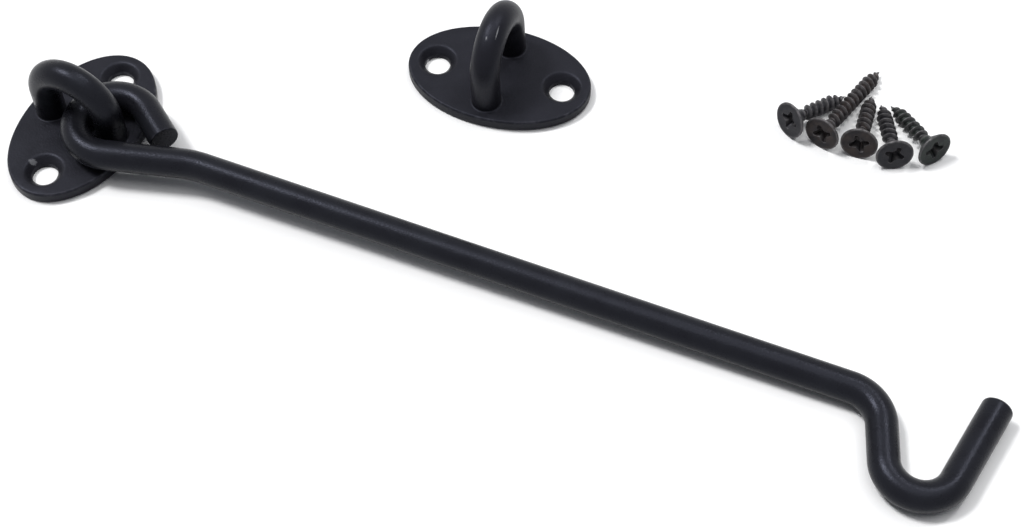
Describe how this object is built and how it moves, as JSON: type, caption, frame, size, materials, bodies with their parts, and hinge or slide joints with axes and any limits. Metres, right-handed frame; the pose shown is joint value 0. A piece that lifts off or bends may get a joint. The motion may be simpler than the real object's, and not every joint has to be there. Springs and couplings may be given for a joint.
{
  "type": "hook and eye latch",
  "caption": "Cabin hook of bent round wire linked to a staple on an oval plate, with a matching eye plate and countersunk wood screws.",
  "frame": {"origin": "middle of the pivot plate's back face, on the surface that the kit lies on", "axes": "+X from the left staple leg to the right one and roughly along the hook, +Y along the pivot plate's length towards the catch, +Z out of the plates"},
  "size_m": [0.207, 0.1111, 0.0206],
  "materials": {
    "plate_black_paint": "satin black powder paint on steel, chipped at the countersinks",
    "wire_black_paint": "semi-gloss black powder paint on steel",
    "screw_black_oxide": "black oxide, worn lighter on the rims and thread crests"
  },
  "bodies": {
    "pivot": {"pivot_plate": "plate_black_paint", "pivot_staple": "wire_black_paint"},
    "hook": {"hook_rod": "wire_black_paint"},
    "catch": {"catch_plate": "plate_black_paint", "catch_staple": "wire_black_paint"},
    "fixing_1": {"screw_1": "screw_black_oxide"},
    "fixing_2": {"screw_2": "screw_black_oxide"},
    "fixing_3": {"screw_3": "screw_black_oxide"},
    "fixing_4": {"screw_4": "screw_black_oxide"},
    "fixing_5": {"screw_5": "screw_black_oxide"}
  },
  "joints": [
    {"name": "hook_swing", "type": "hinge", "parent": "pivot", "child": "hook", "pos_m": [0.0077, 0, 0.0062], "axis": [0, 0, 1], "range_deg": [-126, 16]},
    {"name": "catch_lift", "type": "slide", "parent": "pivot", "child": "catch", "axis": [0, 0, 1], "range_m": [0, 0.05]},
    {"name": "fixing_1_lift", "type": "slide", "parent": "pivot", "child": "fixing_1", "axis": [0, 0, 1], "range_m": [0, 0.04]},
    {"name": "fixing_2_lift", "type": "slide", "parent": "pivot", "child": "fixing_2", "axis": [0, 0, 1], "range_m": [0, 0.04]},
    {"name": "fixing_3_lift", "type": "slide", "parent": "pivot", "child": "fixing_3", "axis": [0, 0, 1], "range_m": [0, 0.04]},
    {"name": "fixing_4_lift", "type": "slide", "parent": "pivot", "child": "fixing_4", "axis": [0, 0, 1], "range_m": [0, 0.04]},
    {"name": "fixing_5_lift", "type": "slide", "parent": "pivot", "child": "fixing_5", "axis": [0, 0, 1], "range_m": [0, 0.04]}
  ]
}
